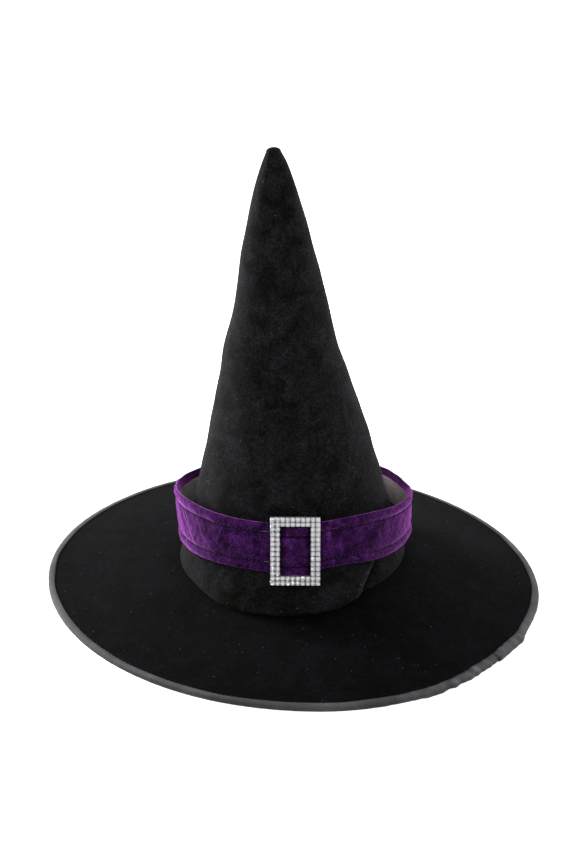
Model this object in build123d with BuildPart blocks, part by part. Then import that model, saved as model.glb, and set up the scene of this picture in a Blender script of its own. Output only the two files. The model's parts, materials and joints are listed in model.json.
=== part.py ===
"""Witch hat: a leaning velvet cone on a round wired brim, with a loose velvet band
and a stone-set slider buckle.

Frame: origin under the middle of the brim, on the plane the rim rests on. +Z is up,
the buckle faces -Y, and the wearer's right-hand side is +X. Units are millimetres.
"""

import os
from math import asin, cos, degrees, radians, sin

from build123d import *

os.makedirs("parts", exist_ok=True)

fit_gap = 0.05            # between pieces that lie against each other
thread_gap = 0.02         # between a row of thread and the cloth it lies on
reach = 40.0              # cutting tools pass this far beyond what they cut

# ---------------------------------------------------------------- brim
rim_radius = 205.0        # outside of the binding
brim_rise = 23.7          # how much higher the brim is at the crown than at the rim
core_radius = 202.2       # outer edge of the brim's three layers
binding_width = 6.0
rest_cut = 0.25           # the binding's underside is pressed flat by this much
outer_circle, inner_circle = 260.0, 80.0   # the brim's slope is drawn between these radii

# heights of the layers above the brim's lower face, at the rim
underside_low, core_low, top_low, top_high, binding_high = 0.5, 1.2, 2.2, 2.9, 3.4
tape = 0.45               # thickness of the binding tape

wire_radius = 0.8
wire_circle = 203.3
wire_height = 2.05
wire_joint_angle = -40.0  # where the wire's ends meet, degrees from +X
wire_gap = 0.6            # degrees between the wire's ends
sleeve_arc = 5.0
sleeve_wall = 0.3
lap_start, lap_end = -33.0, -24.0
lap_thickness = 0.5
lap_foot = 0.6            # the lap stops this far above the resting plane
lap_margin = 1.0          # the lap is this much wider than the binding
binding_stitch_inset = 1.4                     # from the binding's inner edge
stitch_clearance = 0.5    # degrees between the stitch line's ends and the lap

# ---------------------------------------------------------------- crown
crown_radius = 92.8
crown_lean = 4.9          # degrees, towards -X
crown_x = -3.2
crown_height = 345.0
crown_foot = 0.9          # the wall stands this far above the brim at its seam
waist_radius, waist_height = 44.4, 189.0       # end of the straight lower wall
bulge_radius, bulge_height = 28.9, 262.0       # the upper wall swells slightly
neck_radius, neck_height = 18.1, 307.0
tip_radius, tip_height = 9.6, 334.0            # start of the blunt tip
tip_slope = 0.36
tip_flat = 1.0            # radius of the tip's flat end
tip_round = (0.66, 0.7)   # middle of the tip's arc, as shares of its radius and height
wall_slope = (crown_radius - waist_radius) / waist_height
velvet = 1.4
interlining = 1.4
seam_tape = 0.6
seam_tape_width = 12.0
seam_tape_low, seam_tape_high = 32.5, 297.5
head_radius = 90.5        # hole in the brim, a 57 cm head size
sweatband_height = 27.0
sweatband_thickness = 1.0
thread = 0.3              # radius of the sewing thread
ribbon_stitch_height = 3.0
base_stitch_height, base_stitch_out = 0.45, 0.5

# ---------------------------------------------------------------- band
band_centre = (0.0, 0.0, 65.8)
band_pitch = 5.7          # degrees, front edge up
band_lean = 2.6           # degrees, left edge down
band_half = 19.0          # half of the strip's width
low_centre, high_centre = (-2.7, 2.2), (-4.1, -1.6)
low_half_width, high_half_width = 95.6, 97.4
low_half_depth, high_half_depth = 93.4, 84.4
band_cloth = 1.3          # velvet alone
band_thickness = 2.4      # velvet with its turned hem
hem = 7.0
stitch_inset = 7.5        # stitch lines from the strip's edges
stitch_size = 0.45
joint_rows = (-7.0, 1.0)  # where the two rows that close the ring lie, along the back

# ---------------------------------------------------------------- buckle
pitch = 3.95              # spacing of the stones
outer_columns, outer_rows = 10, 14
frame_corner = 1.5
plate = 1.2
strap_gap = 1.0           # between the strap's face and the frame's back
buckle_drop = 1.2         # buckle's middle below the strip's middle
buckle_shift = 2.4        # buckle's middle right of the strap's front line
bar_width, bar_thickness = 5.0, 1.2
bar_clearance = 0.7
bar_top_gap, bar_bottom_gap = 1.0, 1.2
cup_radius, cup_height = 1.9, 1.3
stone_radius, stone_height = 1.65, 1.25
stone_taper = 24
recess_depth = 0.8


def save(builder, name):
    """Label a finished piece and write it as its own STEP file."""
    builder.part.label = name
    export_step(builder.part, f"parts/{name}.step")


# ================================================================ brim
def brim_plane(radius, lift):
    """Plane of the circle that the brim's surface has at a radius.

    The rim is level. The seam with the crown is tilted with the crown, and every
    circle between them fades from one to the other along a straight slope.
    """
    fade = (rim_radius - radius) / (rim_radius - crown_radius)
    tilt = degrees(asin(crown_radius * sin(radians(crown_lean)) * fade / radius))
    return Plane(origin=(crown_x * fade, 0, brim_rise * fade + lift)).rotated((0, -tilt, 0))


def brim_circle(radius, lift):
    with BuildSketch(brim_plane(radius, lift)) as section:
        Circle(radius)
    return section.sketch


def brim_slope(lift):
    """The two circles whose loft is everything below a brim surface."""
    return [brim_circle(outer_circle, lift), brim_circle(inner_circle, lift)]


crown_plane = Plane(origin=(crown_x, 0, brim_rise + top_high)).rotated((0, -crown_lean, 0))
crown_side = Plane(
    origin=crown_plane.origin, x_dir=crown_plane.x_dir, z_dir=-crown_plane.y_dir
)
crown_axis = Axis(crown_plane.origin, crown_plane.z_dir)


def brim_layer(low, high):
    """One ring-shaped layer of the brim between two lifts."""
    with BuildPart() as layer:
        loft(brim_slope(high), ruled=True)
        loft(brim_slope(low), ruled=True, mode=Mode.SUBTRACT)
        with BuildSketch(Plane.XY.offset(-reach)):
            Circle(core_radius)
        extrude(amount=2 * reach, mode=Mode.INTERSECT)
        with BuildSketch(crown_plane.offset(-reach)):
            Circle(head_radius)
        extrude(amount=2 * reach, mode=Mode.SUBTRACT)
    return layer


brim_underside = brim_layer(underside_low, core_low)
brim_core = brim_layer(core_low, top_low)
brim_top = brim_layer(top_low, top_high)

# The binding is a folded tape. Its lower face is pressed flat where the hat rests.
with BuildPart() as brim_binding:
    loft(brim_slope(binding_high), ruled=True)
    loft(brim_slope(-rest_cut), ruled=True, mode=Mode.SUBTRACT)
    with BuildSketch(Plane.XY):
        Circle(rim_radius)
        Circle(rim_radius - binding_width, mode=Mode.SUBTRACT)
    extrude(amount=reach, mode=Mode.INTERSECT)

with BuildPart() as binding_pocket:
    loft(brim_slope(binding_high - tape), ruled=True)
    loft(brim_slope(underside_low - fit_gap), ruled=True, mode=Mode.SUBTRACT)
    with BuildSketch(Plane.XY.offset(-reach)):
        Circle(rim_radius - tape)
    extrude(amount=2 * reach, mode=Mode.INTERSECT)

with brim_binding:
    add(binding_pocket.part, mode=Mode.SUBTRACT)

# The tape's end laps over its start, on the upper side and round the edge.
with BuildPart() as binding_lap:
    loft(brim_slope(binding_high + lap_thickness), ruled=True)
    loft(brim_slope(binding_high), ruled=True, mode=Mode.SUBTRACT)
    with BuildSketch(Plane.XY):
        Circle(rim_radius)
        Circle(rim_radius - binding_width - lap_margin, mode=Mode.SUBTRACT)
    extrude(amount=reach, mode=Mode.INTERSECT)
    with BuildSketch(Plane.XY.offset(lap_foot)):
        Circle(rim_radius + lap_thickness)
        Circle(rim_radius, mode=Mode.SUBTRACT)
    extrude(amount=binding_high + lap_thickness - lap_foot)
    with BuildSketch(Plane.XY):
        with BuildLine():
            start = PolarLine((0, 0), rim_radius + reach, lap_start)
            finish = PolarLine((0, 0), rim_radius + reach, lap_end)
            Line(start @ 1, finish @ 1)
        make_face()
    extrude(amount=reach, mode=Mode.INTERSECT)


def thread_ring(plane, radius, size, arc=360.0):
    """A ring of sewing thread lying in a plane, from the plane's x direction."""
    side = Plane(origin=plane.origin, x_dir=plane.x_dir, z_dir=-plane.y_dir)
    with BuildPart() as ring:
        with BuildSketch(side):
            with Locations((radius, 0)):
                Circle(size)
        revolve(axis=Axis(plane.origin, plane.z_dir), revolution_arc=arc)
    return ring


# A sprung hoop of wire holds the rim out, and its ends meet in a crimped tube.
wire_plane = Plane.XY.offset(wire_height)
brim_wire = thread_ring(
    wire_plane.rotated((0, 0, wire_joint_angle + wire_gap / 2)),
    wire_circle,
    wire_radius,
    360.0 - wire_gap,
)
sleeve_plane = wire_plane.rotated((0, 0, wire_joint_angle - sleeve_arc / 2))
sleeve_side = Plane(
    origin=sleeve_plane.origin, x_dir=sleeve_plane.x_dir, z_dir=-sleeve_plane.y_dir
)
with BuildPart() as brim_wire_sleeve:
    with BuildSketch(sleeve_side):
        with Locations((wire_circle, 0)):
            Circle(wire_radius + sleeve_wall)
            Circle(wire_radius + fit_gap / 2, mode=Mode.SUBTRACT)
    revolve(axis=Axis.Z, revolution_arc=sleeve_arc)

# The tape's stitch line starts and ends at the lap.
stitch_radius = rim_radius - binding_width + binding_stitch_inset
stitch_lift = binding_high + thread + fit_gap / 2
binding_stitches = thread_ring(
    brim_plane(stitch_radius, stitch_lift).rotated((0, 0, lap_end + stitch_clearance)),
    stitch_radius,
    thread,
    360.0 - (lap_end - lap_start) - 2 * stitch_clearance,
)


# ================================================================ crown
def crown_outline(inset, foot=crown_foot, skirt=0.0):
    """Half of the crown's outline, drawn inset by a wall thickness.

    skirt carries the straight wall below the foot, for cutting tools.
    """
    low = foot - skirt
    with BuildSketch(crown_side) as outline:
        with BuildLine():
            wall = Line(
                (crown_radius - wall_slope * low - inset, low),
                (waist_radius - inset, waist_height),
            )
            swell = Spline(
                wall @ 1,
                (bulge_radius - inset, bulge_height),
                (neck_radius - inset, neck_height),
                (tip_radius - inset, tip_height),
                tangents=[wall % 1, (-tip_slope, 1)],
            )
            tip = ThreePointArc(
                swell @ 1,
                (
                    (tip_radius - inset) * tip_round[0],
                    tip_height + (crown_height - tip_height) * tip_round[1] - inset,
                ),
                (tip_flat, crown_height - inset),
            )
            Polyline(tip @ 1, (0, crown_height - inset), (0, low), wall @ 0)
        make_face()
    return outline.sketch


with BuildPart() as crown_shell:
    revolve(crown_outline(0), axis=crown_axis)
    revolve(crown_outline(velvet, skirt=1), axis=crown_axis, mode=Mode.SUBTRACT)

inner_wall = velvet + fit_gap
lined_wall = inner_wall + interlining
with BuildPart() as crown_interlining:
    revolve(crown_outline(inner_wall), axis=crown_axis)
    revolve(crown_outline(lined_wall, skirt=1), axis=crown_axis, mode=Mode.SUBTRACT)

# The tape covers the seam inside the crown's back, above the sweatband.
with BuildPart() as crown_seam_tape:
    revolve(crown_outline(lined_wall + fit_gap), axis=crown_axis)
    revolve(crown_outline(lined_wall + seam_tape, skirt=1), axis=crown_axis, mode=Mode.SUBTRACT)
    with BuildSketch(crown_side):
        with Locations((0, (seam_tape_low + seam_tape_high) / 2)):
            Rectangle(seam_tape_width, seam_tape_high - seam_tape_low)
    extrude(amount=-crown_radius, mode=Mode.INTERSECT)

sweatband_wall = lined_wall + 2 * fit_gap
with BuildPart() as sweatband:
    with BuildSketch(crown_side):
        with BuildLine():
            foot_radius = crown_radius - wall_slope * crown_foot - sweatband_wall
            head_end = crown_radius - wall_slope * sweatband_height - sweatband_wall
            Polyline(
                (foot_radius, crown_foot),
                (head_end, sweatband_height),
                (head_end - sweatband_thickness, sweatband_height),
                (foot_radius - sweatband_thickness, crown_foot),
                close=True,
            )
        make_face()
    revolve(axis=crown_axis)

ribbon_face = crown_radius - wall_slope * ribbon_stitch_height - sweatband_wall - sweatband_thickness
sweatband_stitches = thread_ring(
    crown_plane.offset(ribbon_stitch_height), ribbon_face - thread - fit_gap, thread
)
crown_base_stitches = thread_ring(
    crown_plane.offset(base_stitch_height), crown_radius + base_stitch_out, thread
)


# ================================================================ band
band_plane = Plane(origin=band_centre).rotated((-band_pitch, 0, 0)).rotated((0, -band_lean, 0))


def between(low, high, level):
    """Value at a level of the band, from its values at the two edges."""
    return low + (high - low) * (level + band_half) / (2 * band_half)


def band_section(level, inset):
    """Oval section of the loose ring at a level above the strip's middle."""
    centre_x = between(low_centre[0], high_centre[0], level)
    centre_y = between(low_centre[1], high_centre[1], level)
    with BuildSketch(band_plane.offset(level)) as section:
        with Locations((centre_x, centre_y)):
            Ellipse(
                between(low_half_width, high_half_width, level) - inset,
                between(low_half_depth, high_half_depth, level) - inset,
            )
    return section.sketch


def band_walls(low, high, inset):
    return [band_section(low, inset), band_section(high, inset)]


def band_ring(low, high, outer_inset, inner_inset):
    """A ring of the band between two levels and two insets."""
    with BuildPart() as ring:
        loft(band_walls(low, high, outer_inset), ruled=True)
        loft(band_walls(low - 1, high + 1, inner_inset), ruled=True, mode=Mode.SUBTRACT)
    return ring


# The velvet is turned in at both edges, and the backing fills the space between the hems.
band_velvet = band_ring(-band_half, band_half, 0, band_thickness)
hem_level = band_half - hem
with band_velvet:
    loft(band_walls(-hem_level, hem_level, band_cloth), ruled=True, mode=Mode.SUBTRACT)

band_backing = band_ring(
    -hem_level + fit_gap, hem_level - fit_gap, band_cloth + fit_gap, band_thickness
)

stitch_level = band_half - stitch_inset
band_stitch_top = band_ring(
    stitch_level - stitch_size / 2, stitch_level + stitch_size / 2, -stitch_size, -thread_gap
)
band_stitch_bottom = band_ring(
    -stitch_level - stitch_size / 2, -stitch_level + stitch_size / 2, -stitch_size, -thread_gap
)

# Two rows of thread close the ring at the back.
joint_level = stitch_level - 2
with BuildPart() as band_joint_stitches:
    loft(band_walls(-joint_level, joint_level, -stitch_size), ruled=True)
    loft(band_walls(-joint_level - 1, joint_level + 1, -thread_gap), ruled=True, mode=Mode.SUBTRACT)
    with BuildSketch(band_plane.offset(-band_half)):
        with Locations(*[(row, high_half_depth) for row in joint_rows]):
            Rectangle(stitch_size, 2 * reach)
    extrude(amount=2 * band_half, mode=Mode.INTERSECT)


# ================================================================ buckle
middle_x = between(low_centre[0], high_centre[0], 0)
low_front = low_centre[1] - low_half_depth
high_front = high_centre[1] - high_half_depth
strap_front = between(low_front, high_front, 0)
strap_tilt = degrees(asin((high_front - low_front) / (2 * band_half)))

# On the strap's outer face at the front middle: x to the right, y up the strap, z outwards.
strap_face = Plane(
    origin=band_plane.from_local_coords(Vector(middle_x, strap_front, 0)),
    x_dir=band_plane.x_dir,
    z_dir=-band_plane.y_dir,
).rotated((-strap_tilt, 0, 0))
buckle_back = Plane(
    origin=strap_face.from_local_coords(Vector(buckle_shift, -buckle_drop, strap_gap)),
    x_dir=strap_face.x_dir,
    z_dir=strap_face.z_dir,
)
buckle_face = buckle_back.offset(plate)

frame_width = outer_columns * pitch
frame_height = outer_rows * pitch
rail = 2 * pitch
with BuildPart() as buckle_frame:
    with BuildSketch(buckle_back):
        RectangleRounded(frame_width, frame_height, frame_corner)
        Rectangle(frame_width - 2 * rail, frame_height - 2 * rail, mode=Mode.SUBTRACT)
    extrude(amount=plate)

# The bar runs behind the strap, and its ends turn forward past the strap's edges.
bar_depth = strap_gap + band_thickness + bar_clearance + bar_thickness
bar_top = band_half / cos(radians(strap_tilt)) + buckle_drop + bar_top_gap
bar_bottom = -band_half / cos(radians(strap_tilt)) + buckle_drop - bar_bottom_gap
buckle_side = Plane(
    origin=buckle_back.origin, x_dir=buckle_back.y_dir, z_dir=buckle_back.x_dir
)
with BuildPart() as buckle_bar:
    with BuildSketch(buckle_side):
        with BuildLine():
            Polyline(
                (bar_bottom - bar_thickness, 0),
                (bar_bottom - bar_thickness, -bar_depth),
                (bar_top + bar_thickness, -bar_depth),
                (bar_top + bar_thickness, 0),
                (bar_top, 0),
                (bar_top, -bar_depth + bar_thickness),
                (bar_bottom, -bar_depth + bar_thickness),
                (bar_bottom, 0),
                close=True,
            )
        make_face()
    extrude(amount=bar_width / 2, both=True)


def stone_row(columns, rows):
    """Centres of one closed rectangular row of stones."""
    left, low = -(columns - 1) / 2, -(rows - 1) / 2
    spots = []
    for column in range(columns):
        for row in range(rows):
            if column in (0, columns - 1) or row in (0, rows - 1):
                spots.append(((left + column) * pitch, (low + row) * pitch))
    return spots


def claw_cups(spots):
    with BuildPart() as cups:
        with BuildSketch(buckle_face):
            with Locations(*spots):
                Circle(cup_radius)
        extrude(amount=cup_height)
        with BuildSketch(buckle_face.offset(cup_height)):
            with Locations(*spots):
                Circle(stone_radius + fit_gap)
        extrude(amount=-recess_depth, mode=Mode.SUBTRACT)
    return cups


def cut_stones(spots):
    with BuildPart() as stones:
        with BuildSketch(buckle_face.offset(cup_height - recess_depth)):
            with Locations(*spots):
                Circle(stone_radius)
        extrude(amount=stone_height, taper=stone_taper)
    return stones


outer_spots = stone_row(outer_columns, outer_rows)
inner_spots = stone_row(outer_columns - 2, outer_rows - 2)
stone_cups_outer = claw_cups(outer_spots)
stone_cups_inner = claw_cups(inner_spots)
stones_outer = cut_stones(outer_spots)
stones_inner = cut_stones(inner_spots)

# ================================================================ files
save(crown_shell, "crown_shell")
save(crown_interlining, "crown_interlining")
save(crown_seam_tape, "crown_seam_tape")
save(crown_base_stitches, "crown_base_stitches")
save(brim_top, "brim_top")
save(brim_core, "brim_core")
save(brim_underside, "brim_underside")
save(brim_wire, "brim_wire")
save(brim_wire_sleeve, "brim_wire_sleeve")
save(brim_binding, "brim_binding")
save(binding_lap, "binding_lap")
save(binding_stitches, "binding_stitches")
save(sweatband, "sweatband")
save(sweatband_stitches, "sweatband_stitches")
save(band_velvet, "band_velvet")
save(band_backing, "band_backing")
save(band_stitch_top, "band_stitch_top")
save(band_stitch_bottom, "band_stitch_bottom")
save(band_joint_stitches, "band_joint_stitches")
save(buckle_frame, "buckle_frame")
save(buckle_bar, "buckle_bar")
save(stone_cups_outer, "stone_cups_outer")
save(stone_cups_inner, "stone_cups_inner")
save(stones_outer, "stones_outer")
save(stones_inner, "stones_inner")
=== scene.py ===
"""Witch hat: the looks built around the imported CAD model.

Every soft layer is a thin closed mesh on a grid of points: the crown is placed by an
angle round its axis and a height above its seam, the brim by an angle and a radius, and
the band by an angle and a level across its strip. Lengths are metres, angles radians
unless a name says degrees.
"""

import json
from math import acos, cos, pi, radians, sin, sqrt

import bmesh
import bpy
import numpy as np
from mathutils import Matrix, Vector


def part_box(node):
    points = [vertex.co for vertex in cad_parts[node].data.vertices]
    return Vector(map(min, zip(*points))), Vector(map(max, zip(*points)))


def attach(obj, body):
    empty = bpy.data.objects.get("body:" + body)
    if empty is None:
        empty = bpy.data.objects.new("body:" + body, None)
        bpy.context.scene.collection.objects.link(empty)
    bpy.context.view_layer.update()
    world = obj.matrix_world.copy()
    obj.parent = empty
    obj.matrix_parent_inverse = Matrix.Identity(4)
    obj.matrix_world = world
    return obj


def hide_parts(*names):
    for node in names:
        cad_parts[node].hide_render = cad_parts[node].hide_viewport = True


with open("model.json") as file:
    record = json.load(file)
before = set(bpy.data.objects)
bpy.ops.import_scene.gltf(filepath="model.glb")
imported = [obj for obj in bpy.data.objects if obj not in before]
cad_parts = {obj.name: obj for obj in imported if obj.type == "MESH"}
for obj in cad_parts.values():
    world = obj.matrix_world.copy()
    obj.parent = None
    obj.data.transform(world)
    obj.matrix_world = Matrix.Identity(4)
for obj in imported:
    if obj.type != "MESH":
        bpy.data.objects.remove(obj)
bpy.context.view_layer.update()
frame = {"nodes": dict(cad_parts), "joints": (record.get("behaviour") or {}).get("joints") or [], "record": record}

MM = 0.001
joints = {joint["name"]: joint for joint in frame["joints"]}
mounts = {mount["name"]: mount for mount in frame["record"]["mounts"]}


# ---------------- camera
CAMERA_DISTANCE = 1.5375
CAMERA_TARGET = Vector((-0.0114, 0, 0.1348))
CAMERA_ELEVATION = radians(24.43)
CAMERA_ROLL = radians(2.67)
CAMERA_LENS = 78.84


def make_camera():
    """A level view from the front, raised and rolled a little."""
    data = bpy.data.cameras.new("camera")
    data.lens = CAMERA_LENS
    data.sensor_width = 36
    back = Vector((0, -cos(CAMERA_ELEVATION), sin(CAMERA_ELEVATION)))
    level_up = Vector((0, sin(CAMERA_ELEVATION), cos(CAMERA_ELEVATION)))
    level_right = Vector((1, 0, 0))
    right = level_right * cos(CAMERA_ROLL) + level_up * sin(CAMERA_ROLL)
    up = level_up * cos(CAMERA_ROLL) - level_right * sin(CAMERA_ROLL)
    camera = bpy.data.objects.new("camera", data)
    axes = Matrix((right, up, back)).transposed().to_4x4()
    camera.matrix_world = Matrix.Translation(CAMERA_TARGET + back * CAMERA_DISTANCE) @ axes
    bpy.context.scene.collection.objects.link(camera)
    bpy.context.scene.camera = camera


# ---------------- curves and unevenness
def smooth(share):
    """A smooth step from 0 to 1 as share goes from 0 to 1."""
    t = np.clip(share, 0, 1)
    return t * t * (3 - 2 * t)


def hump(offset, width):
    return np.exp(-((offset / width) ** 2))


def curve(stations, values, at):
    """A smooth curve through a few values set at stations along it."""
    x, y = np.asarray(stations, float), np.asarray(values, float)
    step = np.diff(x)
    rise = np.diff(y) / step
    slope = np.concatenate([rise[:1], (rise[:-1] + rise[1:]) / 2, rise[-1:]])
    slope[1:-1][rise[:-1] * rise[1:] <= 0] = 0
    i = np.clip(np.searchsorted(x, at) - 1, 0, len(step) - 1)
    t = np.clip((at - x[i]) / step[i], 0, 1)
    bend = y[i] * (1 + 2 * t) * (1 - t) ** 2 + y[i + 1] * t**2 * (3 - 2 * t)
    return bend + step[i] * (slope[i] * t * (1 - t) ** 2 - slope[i + 1] * t**2 * (1 - t))


def ripples(seed, turn, rise, most_turns, shortest, waves=10):
    """Unevenness of about -1 to 1 over an angle and a length, closed round the ring."""
    random = np.random.default_rng(seed)
    total = 0
    for _ in range(waves):
        turns = random.integers(1, most_turns + 1)
        pitch = random.uniform(1, 3) * shortest * random.choice((-1, 1))
        total = total + np.cos(turns * turn + 2 * pi * rise / pitch + random.uniform(0, 2 * pi))
    return total / sqrt(waves)


def there_and_back(first, second):
    """Columns of one face, then those of the other face in the opposite order."""
    return np.concatenate([first, second[:, ::-1]], axis=1)


def turns(count):
    """Angles evenly spaced round a ring, one to a row."""
    return np.linspace(0, 2 * pi, count, endpoint=False)[:, None]


def angle_from(turn, centre_degrees):
    """The angle from a direction, between -pi and pi."""
    return (turn - radians(centre_degrees) + pi) % (2 * pi) - pi


def bumps(shapes, turn):
    """Metres in or out round a ring, from (degrees, width in degrees, height in mm)."""
    total = 0 * turn
    for centre, width, height in shapes:
        total = total + height * MM * hump(angle_from(turn, centre), radians(width))
    return total


# ---------------- meshes
def finish_piece(mesh, body, look, slot, *nodes, flat=False):
    """Make the object of a mesh, tidy its faces, and tie it to the frame."""
    work = bmesh.new()
    work.from_mesh(mesh)
    bmesh.ops.remove_doubles(work, verts=work.verts, dist=1e-6)
    bmesh.ops.recalc_face_normals(work, faces=work.faces)
    work.to_mesh(mesh)
    work.free()
    if not flat:
        mesh.shade_smooth()
    if look.name not in mesh.materials:
        mesh.materials.append(look)
    piece = bpy.data.objects.new(mesh.name, mesh)
    bpy.context.scene.collection.objects.link(piece)
    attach(piece, body)
    if nodes:
        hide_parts(*nodes)
    return piece


def grid_mesh(name, points, close_rows=True, close_columns=True, painted_shading=None):
    """A mesh of quads on a grid of points, each row joined to the next.

    The shading values, one a point, are 0 where the cloth is left as it is, 1 where painted
    shade darkens it, in grooves, folds and shadows, and -1 where a painted highlight lightens it.
    """
    rows, columns = points.shape[:2]
    index = np.arange(rows * columns).reshape(rows, columns)
    if close_rows:
        index = np.vstack([index, index[:1]])
    if close_columns:
        index = np.hstack([index, index[:, :1]])
    corners = [index[:-1, :-1], index[1:, :-1], index[1:, 1:], index[:-1, 1:]]
    faces = np.stack(corners, -1).reshape(-1, 4)
    mesh = bpy.data.meshes.new(name)
    mesh.from_pydata(points.reshape(-1, 3).tolist(), [], faces.tolist())
    if painted_shading is not None:
        layer = mesh.attributes.new("painted_shading", "FLOAT", "POINT")
        layer.data.foreach_set("value", np.clip(painted_shading, -1, 1).ravel())
    return mesh


def close_ends(mesh, columns):
    """Close both ends of a flattened tube of quads, whose rows fold back at the middle."""
    work = bmesh.new()
    work.from_mesh(mesh)
    work.verts.ensure_lookup_table()
    for first in (0, len(work.verts) - columns):
        row = [work.verts[first + column] for column in range(columns)]
        for column in range(columns // 2 - 1):
            work.faces.new([row[column], row[column + 1], row[-2 - column], row[-1 - column]])
    work.to_mesh(mesh)
    work.free()
    return mesh


def joined_mesh(name, parts):
    """One mesh of many separate ones, each given as its points and its faces."""
    points, faces, first = [], [], 0
    for part_points, part_faces in parts:
        points.extend(map(tuple, part_points))
        faces.extend([corner + first for corner in face] for face in part_faces)
        first += len(part_points)
    mesh = bpy.data.meshes.new(name)
    mesh.from_pydata(points, [], faces)
    return mesh


def ring_faces(rings, sides):
    """Quads between rings of points that follow one another."""
    faces = []
    for ring in range(rings - 1):
        low, high = ring * sides, (ring + 1) * sides
        for side in range(sides):
            nxt = (side + 1) % sides
            faces.append([low + side, low + nxt, high + nxt, high + side])
    return faces


def tube_part(line, radii, sides=6):
    """A tube along a short line of points, closed at both ends."""
    line = np.asarray(line, float)
    along = np.gradient(line, axis=0)
    along /= np.linalg.norm(along, axis=1, keepdims=True)
    helper = np.array([0.31, 0.17, 0.93])
    across = np.cross(along, helper)
    across /= np.linalg.norm(across, axis=1, keepdims=True)
    other = np.cross(along, across)
    spin = np.linspace(0, 2 * pi, sides, endpoint=False)
    points = []
    for centre, a, b, radius in zip(line, across, other, radii):
        points.extend(centre + radius * (a * cos(s) + b * sin(s)) for s in spin)
    faces = ring_faces(len(line), sides)
    faces.append(list(range(sides))[::-1])
    faces.append([(len(line) - 1) * sides + side for side in range(sides)])
    return points, faces


# one stitch from end to end: how far it stands out and how thick it is, in thicknesses
STITCH_BEND = np.array([-0.6, 0.35, 0.8, 0.8, 0.35, -0.6])
STITCH_SWELL = np.array([0.5, 0.9, 1.0, 1.0, 0.9, 0.5])
STITCH_SHARE = 0.68
CROWN_THREAD, BAND_THREAD, RIM_THREAD = 0.28 * MM, 0.26 * MM, 0.2 * MM
UPWARD = np.array([0, 0, 1.0])


def stitch_parts(path, count, thick, last=1.0):
    """Separate running stitches along a path, which gives a point and its outward side."""
    parts = []
    for number in range(count):
        start = last * number / count
        reach = last * STITCH_SHARE / count
        line = []
        for spot, lift in zip(start + reach * np.linspace(0, 1, len(STITCH_BEND)), STITCH_BEND):
            point, outward = path(spot)
            line.append(point + outward * lift * thick)
        parts.append(tube_part(line, STITCH_SWELL * thick))
    return parts


def sew(name, body, look, node, stitches):
    """One piece made of separate stitches."""
    slot = "dark_thread" if body == "hat" else "band_thread"
    finish_piece(joined_mesh(name, stitches), body, look, slot, node)


# ---------------- crown
lift_axis = np.array(joints["band_lift_off"]["axis"])
CROWN_LEAN = acos(lift_axis[2])
CROWN_BASE = 0.0266
CROWN_RADIUS = 92.8 * MM
CROWN_BACK = 90.0
# the outline: straight from the foot to the waist, then a bulge, a neck and the tip
CROWN_HEIGHTS = np.array([0, 189, 222, 262, 307, 334, 343]) * MM
CROWN_RADII = np.array([92.8, 44.6, 36.8, 29.0, 18.3, 9.8, 5.7]) * MM
# soft leans of the wall to the right or left: height, reach up and down, shift, all in mm
CROWN_LEANS = ((80, 45, 0.8), (187, 20, -1.3), (262, 14, -0.6), (335, 12, 0.5))
CROWN_TOP = 346.5 * MM
VELVET = 1.4 * MM
LINING_IN = 1.5 * MM
LINING_OUT = 2.85 * MM
LINING_TOP = 325 * MM
# the front of the crown's foot pouches and sags between these degrees round the crown
SAG_STARTS, SAG_ENDS = (-152, -110), (-74, -44)
FOOT_POUCH = 8.5 * MM
FOOT_DROP = 3.5 * MM
FOOT_HEIGHT = 38 * MM
FOOT_LEVEL = 1.4 * MM
FOOT_ROLL = 3.2 * MM
FOLD_TURN, FOLD_RISE, FOLD_REACH = -47.5, 11 * MM, 17 * MM
FOLD_SLOPE = (0.59, 0.81)
AXIS_GAP = 1e-7
head_point = np.array(mounts["head_opening"]["pos_m"])
crown_origin = head_point + lift_axis * (CROWN_BASE - head_point[2]) / lift_axis[2]
crown_right = np.array([lift_axis[2], 0, -lift_axis[0]])


def front_sag(turn):
    """Share of the front's sag at an angle, where -90 degrees faces the buckle."""
    angle = np.degrees(angle_from(turn, -90)) - 90
    rising = smooth((angle - SAG_STARTS[0]) / (SAG_STARTS[1] - SAG_STARTS[0]))
    return rising * (1 - smooth((angle - SAG_ENDS[0]) / (SAG_ENDS[1] - SAG_ENDS[0])))


def crown_place(turn, radius, height):
    """A point of the crown: angle round its axis, distance from it, height along it."""
    turn, radius, height = np.broadcast_arrays(turn, radius, height)
    across = np.cos(turn)[..., None] * crown_right + np.sin(turn)[..., None] * np.array([0, 1, 0])
    return crown_origin + radius[..., None] * across + height[..., None] * lift_axis


def crown_fold(turn, height):
    """The diagonal fold at the front right of the foot: how far beside it, and its reach."""
    across = angle_from(turn, FOLD_TURN) * CROWN_RADIUS
    rise = height - FOLD_RISE
    beside = FOLD_SLOPE[0] * across - FOLD_SLOPE[1] * rise
    along = -FOLD_SLOPE[1] * across - FOLD_SLOPE[0] * rise
    return beside, np.exp(-((along / FOLD_REACH) ** 4))


def crown_painted_shading(turn, height):
    """Painted shading of the fold: a painted highlight on its ridge, painted shade in its valley."""
    beside, reach = crown_fold(turn, height)
    return reach * (0.95 * hump(beside - 3.4 * MM, 2.6 * MM) - hump(beside + 1.8 * MM, 2.4 * MM))


def foot_share(height):
    """How much of the foot's pouch there is at a height: all at the brim, none above it."""
    return np.clip(1 - (height / FOOT_HEIGHT) ** 2, 0, 1) ** 1.5


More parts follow.
